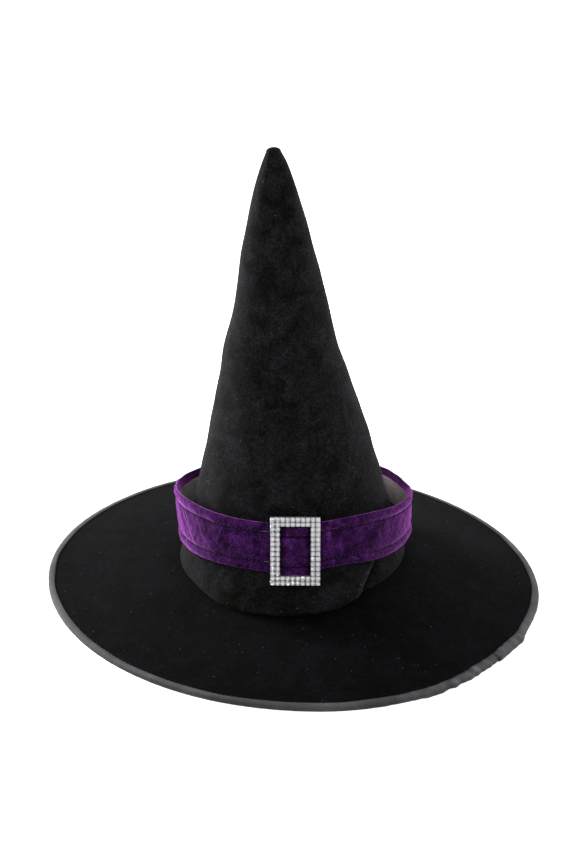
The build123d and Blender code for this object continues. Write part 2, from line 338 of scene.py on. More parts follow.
def crown_wall(turn, height):
    """Radius of the crown's outer face, with its pouching foot, fold, dents and seam."""
    radius = curve(CROWN_HEIGHTS, CROWN_RADII, height)
    for level, reach, shift in CROWN_LEANS:
        radius = radius + shift * MM * hump(height - level * MM, reach * MM) * np.cos(turn)
    radius = radius + (FOOT_POUCH * front_sag(turn) + 1.2 * MM) * foot_share(height)
    # soft dents that fade towards the tip
    fade = smooth(height / (20 * MM)) * (0.35 + 0.65 * smooth((300 * MM - height) / (200 * MM)))
    radius = radius + 0.55 * MM * fade * ripples(11, turn, height, 5, 0.09)
    radius = radius + 0.28 * MM * fade * ripples(12, turn, height, 14, 0.03)
    beside, reach = crown_fold(turn, height)
    fold = 2.4 * hump(beside + 1.5 * MM, 2.8 * MM) - 2.8 * hump(beside - 3.6 * MM, 3.2 * MM)
    radius = radius + fold * MM * reach
    # the seam down the back
    back = angle_from(turn, CROWN_BACK) * radius
    groove, ridges = hump(back, 1.1 * MM), hump(np.abs(back) - 3 * MM, 1.8 * MM)
    return radius - 0.9 * MM * groove + 0.35 * MM * ridges


def crown_tip(turn, share):
    """Points of the blunt tip above the last wall height, from its shoulder to its top."""
    last = CROWN_HEIGHTS[-1]
    radius = crown_wall(turn, last) * np.cos(share * pi / 2) ** 0.9
    height = last + (CROWN_TOP - last) * np.sin(share * pi / 2)
    return crown_place(turn, radius + AXIS_GAP, height)


def crown_sheet(name, outer_inset, inner_inset, top, look, slot, node, ring=288):
    """One closed layer of the crown between two insets from its outer face."""
    turn = turns(ring)
    foot_heights, heights = np.linspace(FOOT_LEVEL, 45 * MM, 46), np.linspace(46.5 * MM, top, 150)
    heights = np.concatenate([foot_heights, heights])[None, :]
    wall = crown_wall(turn, heights)
    outer = crown_place(turn, wall - outer_inset, heights)
    inner = crown_place(turn, np.maximum(wall - inner_inset, 0.4 * MM), heights)[:, ::-3]
    under_top = crown_place(turn, AXIS_GAP, top - 1.0 * MM)
    shade = np.zeros((ring, 1))
    if outer_inset == 0:
        # the velvet rolls under at the foot, down to the brim, and closes over the tip
        roll = np.linspace(-pi / 2, 0, 7)[None, :-1]
        round_radius = wall[:, :1] - FOOT_ROLL * (1 - np.cos(roll))
        foot = crown_place(turn, round_radius, FOOT_LEVEL + FOOT_ROLL * np.sin(roll))
        walls = [foot, outer, crown_tip(turn, np.linspace(0, 1, 12)[None, 1:])]
        # painted shadow under the foot's roll where it meets the brim, and painted shading on the fold
        shades = [0.8 * np.sin(-roll) ** 2 + 0 * turn, crown_painted_shading(turn, heights)]
        shade = np.concatenate(shades, axis=1)
    else:
        walls = [outer, crown_place(turn, AXIS_GAP, top + 1.0 * MM)]
    points = np.concatenate([*walls, under_top, inner], axis=1)
    height = (points - crown_origin) @ lift_axis
    share = np.clip(1 - height / FOOT_HEIGHT, 0, 1.1)[..., None]
    points = points - FOOT_DROP * front_sag(turn)[..., None] * share * lift_axis
    painted_shading = np.zeros(points.shape[:2])
    painted_shading[:, : shade.shape[1]] = shade
    return finish_piece(grid_mesh(name, points, painted_shading=painted_shading), "hat", look, slot, node)


def back_tape(look):
    """The tape over the seam inside the crown's back."""
    heights = np.linspace(33 * MM, 297 * MM, 90)[:, None]
    side = np.linspace(-6 * MM, 6 * MM, 9)[None, :]
    radius = crown_wall(radians(CROWN_BACK), heights) - LINING_OUT - 0.1 * MM
    turn = radians(CROWN_BACK) + side / radius
    face, back = crown_place(turn, radius, heights), crown_place(turn, radius - 0.5 * MM, heights)
    points = there_and_back(face, back)
    # each end closes to the middle of its row
    first, last = (np.tile(row.mean(axis=0), (1, points.shape[1], 1)) for row in points[[0, -1]])
    mesh = grid_mesh("crown_back_tape", np.concatenate([first, points, last]), close_rows=False)
    return finish_piece(mesh, "hat", look, "seam_tape", "crown_seam_tape")


def head_ribbon(look):
    """The sweatband: a ribbon with ribs, sewn round the inside of the crown's foot."""
    turn = turns(720)
    heights = np.linspace(1.2 * MM, 27 * MM, 14)[None, :]
    wall = crown_wall(turn, heights) - FOOT_POUCH * front_sag(turn) * foot_share(heights)
    rib = 0.09 * MM * np.cos(360 * turn)
    face = crown_place(turn, wall - LINING_OUT - 1.1 * MM - rib, heights)
    back = crown_place(turn, wall - LINING_OUT - 0.15 * MM, heights)
    mesh = grid_mesh("head_ribbon", there_and_back(face, back))
    return finish_piece(mesh, "hat", look, "sweatband_ribbon", "sweatband")


def crown_path(inset, height):
    """A line round the inside of the crown's foot."""
    def path(share):
        turn, level = np.array([2 * pi * share]), np.array([height])
        pouch = FOOT_POUCH * front_sag(turn) * foot_share(level)
        point = crown_place(turn, crown_wall(turn, level) - inset - pouch, level)[0]
        inward = crown_origin + height * lift_axis - point
        return point, inward / np.linalg.norm(inward)
    return path


# ---------------- brim
RIM_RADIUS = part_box("brim_binding")[1].x
BRIM_RISE = 23.7 * MM
CROWN_SHIFT = crown_origin[0]
CORE_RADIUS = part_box("brim_core")[1].x
HEAD_RADIUS = mounts["head_opening"]["dims"]["r_mm"] * MM
UNDERSIDE_LOW, CORE_LOW, TOP_LOW, TOP_HIGH, TAPE_HIGH = np.array([0.5, 1.2, 2.2, 2.9, 3.4]) * MM
TAPE_WIDTH = 6.0 * MM
TAPE = 0.45 * MM
TAPE_ROUND = 0.9 * MM
WIRE_JOINT = radians(-40)
LAP_START, LAP_END = radians(-36.5), radians(-24.0)
# the rim is not a true circle: a flat stretch with a small corner at the front right,
# where the tape's ends lap, and gentle swells and dips elsewhere
RIM_BUMPS = (
    (326, 14, -2.9), (334.5, 3, 1.2), (343, 9, -1.5), (302, 4, 1.6), (284, 13, 1.1),
    (180, 22, 1.4), (142, 14, -1.1), (15, 30, 0.5),
)


def rim_shift(turn, radius):
    """The rim's unevenness, which fades to nothing well inside it."""
    return bumps(RIM_BUMPS, turn) * smooth((radius - 150 * MM) / (45 * MM))


def brim_place(turn, radius, lift):
    """A point of the brim at an angle and a radius, lifted above its lower face."""
    turn, radius, lift = np.broadcast_arrays(turn, radius, lift)
    fade = (RIM_RADIUS - radius) / (RIM_RADIUS - CROWN_RADIUS)
    tilt = CROWN_RADIUS * sin(CROWN_LEAN) * fade / radius
    wave = smooth((RIM_RADIUS - radius) / (45 * MM)) * smooth((radius - 92 * MM) / (30 * MM))
    height = BRIM_RISE * fade + lift + radius * tilt * np.cos(turn)
    height = height + 0.9 * MM * wave * ripples(21, turn, radius, 5, 0.12)
    height = height - FOOT_DROP * front_sag(turn) * smooth((170 * MM - radius) / (65 * MM))
    shifted = radius + rim_shift(turn, radius)
    x = CROWN_SHIFT * fade + shifted * np.sqrt(1 - tilt**2) * np.cos(turn)
    return np.stack([x, shifted * np.sin(turn), height], -1)


def brim_sheet(name, low, high, outer, look, slot, node, ring=360):
    """One closed layer of the brim between two heights, from the head opening outwards."""
    turn = turns(ring)
    radii = np.concatenate([np.linspace(HEAD_RADIUS, 110 * MM, 16), np.linspace(112 * MM, outer, 70)])
    top = brim_place(turn, radii, high)
    bottom = brim_place(turn, radii, low)[:, ::-2]
    # painted shadow: the brim is darkened close round the crown's foot
    beside = radii - CROWN_RADIUS - FOOT_POUCH * front_sag(turn)
    shade = 0.85 * (1 - smooth(beside / (13 * MM)))
    painted_shading = np.concatenate([shade, 0 * bottom[..., 0]], axis=1)
    mesh = grid_mesh(name, np.concatenate([top, bottom], axis=1), painted_shading=painted_shading)
    return finish_piece(mesh, "hat", look, slot, node)


def tape_profile():
    """The folded tape round the rim, outer face then inner face: (inset, height)."""
    low, high = -0.15 * MM, TAPE_HIGH
    middle = (low + high) / 2
    outer, inner = [], []
    for share in np.linspace(0, 1, 14):
        crown = 0.35 * MM * sin(pi * share)
        outer.append((TAPE_WIDTH * (1 - share) + TAPE_ROUND * share, high + crown))
        inner.append((TAPE_WIDTH * (1 - share) + 1.1 * MM * share, high - TAPE + crown * 0.5))
    for share in np.linspace(0.08, 0.92, 12):
        spin = pi / 2 - pi * share
        outer.append((TAPE_ROUND * (1 - cos(spin)), middle + (high - middle) * sin(spin)))
        inside = (high - TAPE - middle) * sin(spin)
        inner.append((1.1 * MM - 0.55 * MM * cos(spin), middle + inside))
    for share in np.linspace(0, 1, 8):
        end = (TAPE_WIDTH - 0.4 * MM) * share
        outer.append((TAPE_ROUND * (1 - share) + end, low))
        inner.append((1.1 * MM * (1 - share) + end, low + TAPE))
    return np.array(outer + inner[::-1])


def tape_wrinkles(turn, inset):
    """Small cross wrinkles of the tape, most where its ends lap at the front right."""
    loose = 0.12 + 0.9 * hump(angle_from(turn, -44), 0.32)
    wave = ripples(31, turn, inset * 2, 160, 0.02, waves=14)
    return wave * loose * MM * 0.55


def tape_edge_shading(inset):
    """Painted shade along the tape's sewn inner edge and its outer fold."""
    return 0.9 * hump(inset - TAPE_WIDTH, 0.9 * MM) + 0.45 * hump(inset, 0.9 * MM)


def rim_tape(name, look, ring=1080):
    """The tape folded round the rim, ribbed along its length and wrinkled in places."""
    turn = turns(ring)
    profile = tape_profile()
    inset, height = profile[:, 0][None, :], profile[:, 1][None, :]
    wide = 1 + 0.08 * hump(angle_from(turn, -42), 0.35) + 0.05 * ripples(32, turn, 0, 30, 1.0)
    wide = wide - 0.20 * hump(angle_from(turn, -125), 0.7)
    # the ridges woven along the tape
    rib = 0.05 * MM * np.cos(2 * pi * inset / (0.9 * MM))
    wrinkle = tape_wrinkles(turn, inset)
    shown = np.arange(len(profile)) < len(profile) // 2
    lift = np.where(shown, rib + wrinkle * 0.5, 0)
    outward = np.where(shown, wrinkle * 0.8, 0) * (inset < 2.5 * MM)
    radius = RIM_RADIUS - inset * wide + outward - 0.4 * MM
    points = brim_place(turn, radius, height + lift * (height > 1.5 * MM))
    points[..., 2] = np.maximum(points[..., 2], 0.02 * MM)
    # painted shade along the tape's edges, and painted shading on its wrinkles: lighter on crests
    painted_shading = np.where(shown, tape_edge_shading(inset) - 0.5 * wrinkle / MM, 0)
    mesh = grid_mesh(name, points, painted_shading=painted_shading)
    return finish_piece(mesh, "hat", look, "binding_tape", "brim_binding")


def rim_lap(name, look):
    """The tape's end, which laps over its start and folds under; painted shadow darkens both its ends."""
    profile = tape_profile()
    outside = profile[: len(profile) // 2]
    inset, height = outside[:, 0][None, :], outside[:, 1][None, :]
    share = np.linspace(0, 1, 48)[:, None]
    turn = LAP_START + (LAP_END - LAP_START) * share
    end_roll = np.sqrt(np.clip(1 - (2 * share - 1) ** 8, 0, 1))
    pucker = 0.35 * MM * ripples(33, turn, inset * 2, 150, 0.015) * end_roll
    lift = (0.25 + 0.75 * end_roll) * 0.85 * MM + pucker
    wide = 1.06 + 0.06 * share
    above = smooth((height - 0.2 * MM) / (2.2 * MM))
    radius = RIM_RADIUS - inset * wide + lift * (inset < 2 * MM) * 0.7
    cover = brim_place(turn, radius, height + lift * above)
    under = brim_place(turn, radius - 0.3 * MM, height + (lift - 0.5 * MM) * above)
    cover[..., 2] = np.maximum(cover[..., 2], 0.02 * MM)
    under[..., 2] = np.maximum(under[..., 2], 0.3 * MM)
    points = there_and_back(cover, under)
    # painted shadow across both ends of the lap, and painted shading on its puckers: lighter on crests
    crease_shading = hump(share - 1, 0.05) + 0.6 * hump(share, 0.03) - 0.8 * pucker / MM
    cover_painted_shading = np.clip(tape_edge_shading(inset) + crease_shading, 0, 1)
    painted_shading = there_and_back(cover_painted_shading, cover_painted_shading)
    mesh = grid_mesh(name, points, close_rows=False, painted_shading=painted_shading)
    close_ends(mesh, points.shape[1])
    return finish_piece(mesh, "hat", look, "binding_tape", "binding_lap")


def rim_path(share):
    """The tape's line of stitches, from the lap round to the lap again."""
    radius = RIM_RADIUS - TAPE_WIDTH + 0.9 * MM
    return brim_place(LAP_END + 2 * pi * share, radius, TAPE_HIGH), UPWARD


def base_path(share):
    """The seam where the crown's foot meets the brim, just under the roll."""
    turn = 2 * pi * share
    radius = CROWN_RADIUS + (FOOT_POUCH - 2 * MM) * front_sag(turn) - 1.0 * MM
    return brim_place(turn, radius, TOP_HIGH + 0.25 * MM), UPWARD


def hoop_mesh(name, thick, first_turn, last_turn, count):
    """Round wire inside the rim between two angles."""
    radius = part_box("brim_wire")[1].x - 1.3 * MM
    line = brim_place(np.linspace(first_turn, last_turn, count), radius, 1.55 * MM)
    return joined_mesh(name, [tube_part(line, np.full(count, thick), 8)])


# ---------------- band
BAND_CENTRE = np.array([0, 0, 65.8]) * MM
BAND_PITCH, BAND_LEAN = radians(5.7), radians(2.6)
BAND_HALF = 19.0 * MM
LOW_CENTRE, HIGH_CENTRE = np.array([-2.7, 2.2]) * MM, np.array([-4.1, -1.6]) * MM
LOW_HALF, HIGH_HALF = np.array([95.6, 93.4]) * MM, np.array([97.4, 84.4]) * MM
BAND_THICK = 2.4 * MM
BAND_CLOTH = 1.3 * MM
HEM = 7.0 * MM
STITCH_LEVEL = BAND_HALF - 7.5 * MM
# how the strip's two edges wander up and down
TOP_WANDER = ((203, 32, 4.2), (245, 40, 0.9), (306, 22, 3.3), (14, 18, -3.3))
LOW_WANDER = ((200, 32, -2.2), (295, 16, 3.2), (335, 30, 0.7))
BUCKLE_TURN, BUCKLE_PATH, PATH_DEPTH = 270.5, radians(26), 0.9
RIDGE_TURN, RIDGE_HEIGHT = 286.0, 1.2
STRAP_RADIUS = 92 * MM
THREAD_LIFT = 0.02 * MM
pitch_cos, pitch_sin = cos(BAND_PITCH), sin(BAND_PITCH)
lean_cos, lean_sin = cos(BAND_LEAN), sin(BAND_LEAN)
pitch_turn = np.array([[1, 0, 0], [0, pitch_cos, pitch_sin], [0, -pitch_sin, pitch_cos]])
lean_turn = np.array([[lean_cos, 0, -lean_sin], [0, 1, 0], [lean_sin, 0, lean_cos]])
band_axes = pitch_turn @ lean_turn


def band_place(turn, level, inset):
    """A point of the band: angle round it, level across its strip, inset inwards."""
    turn, level, inset = np.broadcast_arrays(turn, level, inset)
    share = ((level + BAND_HALF) / (2 * BAND_HALF))[..., None]
    centre = LOW_CENTRE + (HIGH_CENTRE - LOW_CENTRE) * share
    half = LOW_HALF + (HIGH_HALF - LOW_HALF) * share - inset[..., None]
    flat = centre + half * np.stack([np.cos(turn), np.sin(turn)], -1)
    wander = bumps(LOW_WANDER, turn) * (1 - share[..., 0]) + bumps(TOP_WANDER, turn) * share[..., 0]
    local = np.concatenate([flat, (level + wander)[..., None]], -1)
    return BAND_CENTRE + local @ band_axes.T


def band_puckers(turn, level):
    """Short slanted puckers pulled by the stitches, stronger in places: -1 to 1."""
    side = np.sign(level)
    from_stitch = np.abs(level) - STITCH_LEVEL
    strength = 0.25 + 0.75 * np.clip(ripples(41, turn, side * 0.02, 9, 0.1), -0.3, 1.0)
    slant = turn * 96 * MM + from_stitch * side * 0.9
    phase = 2.0 * ripples(42, turn, side * 0.03, 35, 0.1)
    wave = np.cos(2 * pi * slant / (2.7 * MM) + phase)
    return strength * wave * hump(from_stitch + 0.5 * MM, 2.0 * MM)


def buckle_ridge(turn, level):
    """The upright ridge of velvet pushed up beside the buckle: 1 on its crest."""
    beside = angle_from(turn, RIDGE_TURN) * STRAP_RADIUS - level * 0.15
    return hump(beside, 1.7 * MM) * smooth((level + 4 * MM) / (14 * MM))


def band_painted_shading(turn, level):
    """Painted shade along the stitches and in the puckers' hollows; painted highlight on their crests and on the
    ridge beside the buckle.
    """
    from_stitch = np.abs(level) - STITCH_LEVEL
    ridge = buckle_ridge(turn, level)
    return 0.95 * hump(from_stitch, 0.9 * MM) - 0.7 * band_puckers(turn, level) - 0.9 * ridge


def band_relief(turn, level):
    """How far the velvet's outer face stands in or out between its sewn channels."""
    from_stitch = np.abs(level) - STITCH_LEVEL
    left = angle_from(turn, 251) * STRAP_RADIUS - level * 0.1
    return (
        -0.7 * hump(from_stitch, 0.85 * MM) + 0.4 * (1 - hump(from_stitch, 2.4 * MM))
        + 0.6 * hump(from_stitch - 3.8 * MM, 2.4 * MM)
        + 0.22 * band_puckers(turn, level)
        + 0.28 * ripples(43, turn, level, 34, 0.022)
        + 0.10 * ripples(44, turn, level, 110, 0.006, waves=24)
        + RIDGE_HEIGHT * buckle_ridge(turn, level)
        # the buckle keeps the strip flat where it slides
        - PATH_DEPTH * np.exp(-((angle_from(turn, BUCKLE_TURN) / BUCKLE_PATH) ** 4))
        + 0.4 * hump(left, 1.8 * MM) - 0.4 * hump(left + 3.2 * MM, 2.0 * MM)
    )


def band_velvet_piece(look, ring=900):
    """The velvet strip: its outer face, rolled edges and the hems turned in behind."""
    turn = turns(ring)
    edge = 1.25 * MM
    face = np.linspace(-BAND_HALF + edge, BAND_HALF - edge, 66)[None, :]
    outer = -band_relief(turn, face) * MM
    roll = np.linspace(0, pi, 9)[None, 1:-1]
    hem_levels = np.linspace(BAND_HALF - edge, BAND_HALF - HEM, 6)[None, :]
    wobble = 0.25 * MM * ripples(45, turn, 0, 40, 1.0)
    middle = np.linspace(BAND_HALF - HEM - 0.4 * MM, -BAND_HALF + HEM + 0.4 * MM, 8)[None, :]

    def rolled(side):
        spin = roll if side > 0 else roll[:, ::-1]
        front = outer[:, -1:] if side > 0 else outer[:, :1]
        centre = (front + BAND_THICK) / 2
        half = (BAND_THICK - front) / 2
        level = side * (BAND_HALF - edge + edge * np.sin(spin)) + 0 * turn
        return level, centre - half * np.cos(spin) + wobble * np.sin(spin)

    top_level, top_inset = rolled(1)
    low_level, low_inset = rolled(-1)
    hem_inset = BAND_THICK + 0.2 * MM * ripples(46, turn, hem_levels, 50, 0.02)
    parts = (
        (face, outer), (top_level, top_inset), (hem_levels, hem_inset),
        (middle, BAND_CLOTH), (-hem_levels[:, ::-1], hem_inset[:, ::-1]), (low_level, low_inset),
    )
    spread = [np.broadcast_arrays(level, inset, turn) for level, inset in parts]
    level, inset = (np.concatenate([part[i] for part in spread], axis=1) for i in (0, 1))
    points = band_place(turn, level, inset)
    # painted shade on the hems turned in behind, which lie in shadow inside the band;
    # the last row of each roll goes over to them
    behind = smooth((inset - 1.4 * MM) / (0.8 * MM))
    painted_shading = band_painted_shading(turn, level) * (1 - behind) + 0.9 * behind
    mesh = grid_mesh("band_velvet_strip", points, painted_shading=painted_shading)
    return finish_piece(mesh, "band", look, "band_velvet", "band_velvet")


def band_backing_piece(look, ring=360):
    """The strip that lies between the hems, inside the band."""
    turn = turns(ring)
    edge = BAND_HALF - HEM - 0.1 * MM
    level = np.linspace(-edge, edge, 14)[None, :]
    front = band_place(turn, level, BAND_CLOTH + 0.1 * MM)
    slack = 0.15 * MM * ripples(47, turn, level, 30, 0.02)
    back = band_place(turn, level, BAND_THICK - 0.15 * MM + slack)
    mesh = grid_mesh("band_backing_strip", there_and_back(front, back))
    return finish_piece(mesh, "band", look, "band_backing", "band_backing")


def band_path(first, last):
    """A straight line on the band's face between two places, each an angle and a level."""
    def path(share):
        turn, level = (np.array([a + (b - a) * share]) for a, b in zip(first, last))
        depth = -band_relief(turn, level) * MM - THREAD_LIFT
        point = band_place(turn, level, depth)[0]
        outward = point - band_place(turn, level, depth + MM)[0]
        return point, outward / np.linalg.norm(outward)
    return path


# ---------------- buckle
PITCH = 3.95 * MM
COLUMNS, ROWS = 10, 14
PLATE = 1.2 * MM
CUP_RADIUS, CUP_HEIGHT = 1.70 * MM, 1.3 * MM
STONE_RADIUS = 1.62 * MM
GIRDLE = CUP_HEIGHT * 0.93
SCALLOP = 2.05 * MM
BULGE = 4.8 * MM
WINDOW_STITCH = 12.0 * MM


def node_axes(node):
    """Centre and axes of a flat CAD node: across it, up it, and out towards the front."""
    points = np.array([v.co for v in frame["nodes"][node].data.vertices], float)
    middle = points.mean(axis=0)
    axes = np.linalg.svd(points - middle, full_matrices=False)[2]
    up, across, out = axes[0], axes[1], axes[2]
    up = up * np.sign(up[2])
    out = out * -np.sign(out[1])
    across = np.cross(up, out)
    axes = np.array([across, up, out])
    local = (points - middle) @ axes.T
    centre = middle + ((local.min(axis=0) + local.max(axis=0)) / 2) @ axes
    return centre, axes, (local.max(axis=0) - local.min(axis=0)) / 2


buckle_centre, buckle_axes, buckle_half = node_axes("buckle_frame")


def buckle_place(points):
    """Points given across, up and out from the frame's front face."""
    points = np.asarray(points, float) + np.array([0, 0, buckle_half[2]])
    return buckle_centre + points @ buckle_axes


def stone_spots(columns, rows):
    """Centres of one closed rectangular row of stones."""
    spots = []
    for column in range(columns):
        for row in range(rows):
            if column in (0, columns - 1) or row in (0, rows - 1):
                spots.append(((column - (columns - 1) / 2) * PITCH, (row - (rows - 1) / 2) * PITCH))
    return spots


def scalloped_side(length, stones):
    """Offsets from a row's centre line along one side, with a scallop at each stone."""
    along = np.linspace(-length / 2, length / 2, 96, endpoint=False)
    phase = (along / PITCH + (stones % 2) / 2 + 0.5) % 1 - 0.5
    return along, np.sqrt(np.clip(SCALLOP**2 - (phase * PITCH) ** 2, 0, None))


def scalloped_outline(columns, rows, outward):
    """The closed edge of the plate beside a rectangular row of stones."""
    half_wide, half_high = (columns - 1) * PITCH / 2, (rows - 1) * PITCH / 2
    corner = SCALLOP * 0.72 * outward
    outline = []
    for quarter in range(4):
        stones, half_long, half_off = rows, half_high, half_wide
        if quarter % 2:
            stones, half_long, half_off = columns, half_wide, half_high
        along, bulge = scalloped_side(2 * (half_long + corner), stones)
        c, s = cos(quarter * pi / 2), sin(quarter * pi / 2)
        for step, away in zip(along, half_off + outward * bulge):
            outline.append((c * away - s * step, s * away + c * step))
    return np.array(outline)


def buckle_plate(look):
    """The metal plate under the stones, with scalloped edges inside and outside."""
    outer = scalloped_outline(COLUMNS, ROWS, 1)
    inner = scalloped_outline(COLUMNS - 2, ROWS - 2, -1)
    # its back edge, its worn front edge and its face, outside and then inside
    steps = (
        (outer, -PLATE), (outer, -0.2 * MM), (outer * 0.988, 0.0),
        (inner * 1.012, 0.0), (inner, -0.2 * MM), (inner, -PLATE),
    )
    rings = [np.c_[outline, np.full(len(outline), depth)] for outline, depth in steps]
    mesh = grid_mesh("buckle_plate", buckle_place(np.stack(rings, axis=1)))
    return finish_piece(mesh, "buckle", look, "buckle_metal", "buckle_frame")


def lathe_part(centre, outline, sides):
    """A closed body turned from (radius, height) pairs whose ends are on the axis."""
    points = []
    for radius, height in outline:
        for side in range(sides):
            spin = 2 * pi * side / sides
            points.append((centre[0] + radius * cos(spin), centre[1] + radius * sin(spin), height))
    return points, ring_faces(len(outline), sides)


# shares of the cup's radius and height: its flared wall, outside then inside, and a claw
CUP_WALL = ((0.86, 0), (1, 0.35), (1.02, 1), (0.93, 1.04), (0.9, 0.55))
CLAW_LINE = ((1.06, 0.3), (1.07, 0.9), (1.0, 1.22), (0.86, 1.38), (0.74, 1.36))
CLAW_THICK = np.array([0.32, 0.34, 0.32, 0.28, 0.18]) * MM


def cup_parts(spot):
    """One claw setting: a flared cup and four claws bent over the stone."""
    x, y = spot
    wall = [(CUP_RADIUS * wide, CUP_HEIGHT * high) for wide, high in CUP_WALL]
    parts = [lathe_part(spot, [(AXIS_GAP, 0), *wall, (AXIS_GAP, 0.3 * CUP_HEIGHT)], 20)]
    for quarter in range(4):
        spin = pi / 4 + quarter * pi / 2
        line = []
        for reach, height in CLAW_LINE:
            far = CUP_RADIUS * reach
            line.append((x + far * cos(spin), y + far * sin(spin), CUP_HEIGHT * height))
        parts.append(tube_part(line, CLAW_THICK))
    return parts


def stone_part(spot, twist):
    """One cut stone: table, star and main facets above the girdle, a cone below."""
    x, y = spot
    points = [(x, y, GIRDLE - 0.85 * MM)]
    rings = ((1.0, 0.0, 16, 0.0), (0.8, 0.30, 8, 0.5), (0.52, 0.52, 8, 0.0))
    for share, height, sides, offset in rings:
        for side in range(sides):
            spin = 2 * pi * (side + offset) / sides + twist
            far = STONE_RADIUS * share
            points.append((x + far * cos(spin), y + far * sin(spin), GIRDLE + height * MM))
    outer, middle, table = 1, 17, 25
    faces = []
    for side in range(16):
        faces.append([0, outer + (side + 1) % 16, outer + side])
    for side in range(8):
        nxt = (side + 1) % 8
        a, b, c = outer + 2 * side, outer + 2 * side + 1, outer + (2 * side + 2) % 16
        here, after = middle + side, middle + nxt
        faces.extend([[a, b, here], [b, c, here], [here, c, after]])
        faces.extend([[table + side, here, table + nxt], [here, after, table + nxt]])
    faces.append([table + side for side in range(8)])
    return points, faces


def place_mesh(mesh):
    """Move a mesh made across, up and out to where the buckle is."""
    points = np.array([v.co for v in mesh.vertices], float)
    mesh.vertices.foreach_set("co", buckle_place(points).ravel())
    return mesh


def stone_pieces(kind, spots, metal, glass, foil):
    """A row of stones with foiled backs, and the cups that hold them."""
    cups = joined_mesh(f"claw_cups_{kind}", [part for spot in spots for part in cup_parts(spot)])
    finish_piece(place_mesh(cups), "buckle", metal, "buckle_metal", f"stone_cups_{kind}")
    random = np.random.default_rng(51)
    parts = [stone_part(spot, random.uniform(0, pi)) for spot in spots]
    stones = joined_mesh(f"cut_stones_{kind}", parts)
    stones.materials.append(glass)
    stones.materials.append(foil)
    for face in stones.polygons:
        low = min(stones.vertices[corner].co.z for corner in face.vertices)
        face.material_index = 1 if low < GIRDLE - 0.1 * MM else 0
    finish_piece(place_mesh(stones), "buckle", glass, "stone_glass", f"stones_{kind}", flat=True)


def strap_bulge(look):
    """The strap where it swells out through the buckle's window, its sides tucked away."""
    half_wide, half_high = 13.6 * MM, BAND_HALF + 0.2 * MM
    u = np.linspace(-1, 1, 60)[:, None]
    v = np.linspace(-1, 1, 84)[None, :]
    across, up = np.broadcast_arrays(u * half_wide, v * half_high)
    swell = (1 - np.abs(u) ** 2.4) * (1 - 0.10 * np.abs(v) ** 6)
    from_stitch = np.abs(up) - WINDOW_STITCH
    relief = -1.1 * hump(from_stitch, 0.8 * MM) + 0.5 * hump(np.abs(from_stitch) - 2.6 * MM, 1.8 * MM)
    relief = relief * (1 - u**4) + 0.3 * ripples(61, u * pi, up, 5, 0.012) * (1 - u**2)
    pulls = np.cos(2 * pi * across / (4.1 * MM)) * hump(from_stitch, 2.0 * MM)
    relief = relief + 0.25 * pulls * (1 - u**2)
    edge = 1 - smooth((np.abs(v) - 0.9) / 0.1)
    out = -PLATE - 0.75 * MM + BULGE * swell + relief * MM - 1.1 * MM * (1 - edge) * swell
    top = np.stack([across, up, out], -1)
    thin = np.stack([across, up * 0.985, out - 1.1 * MM * (0.25 + 0.75 * swell)], -1)
    rows = there_and_back(top, thin)
    # painted shade in the stitch grooves and towards the sides, where the buckle's rails shade the strap
    shade = 0.95 * hump(from_stitch, 0.8 * MM) + 0.85 * smooth((np.abs(across) - 6.5 * MM) / (5 * MM))
    mesh = grid_mesh("strap_bulge", rows, close_rows=False, painted_shading=there_and_back(shade, shade))
    close_ends(mesh, rows.shape[1])
    return finish_piece(place_mesh(mesh), "buckle", look, "band_velvet")


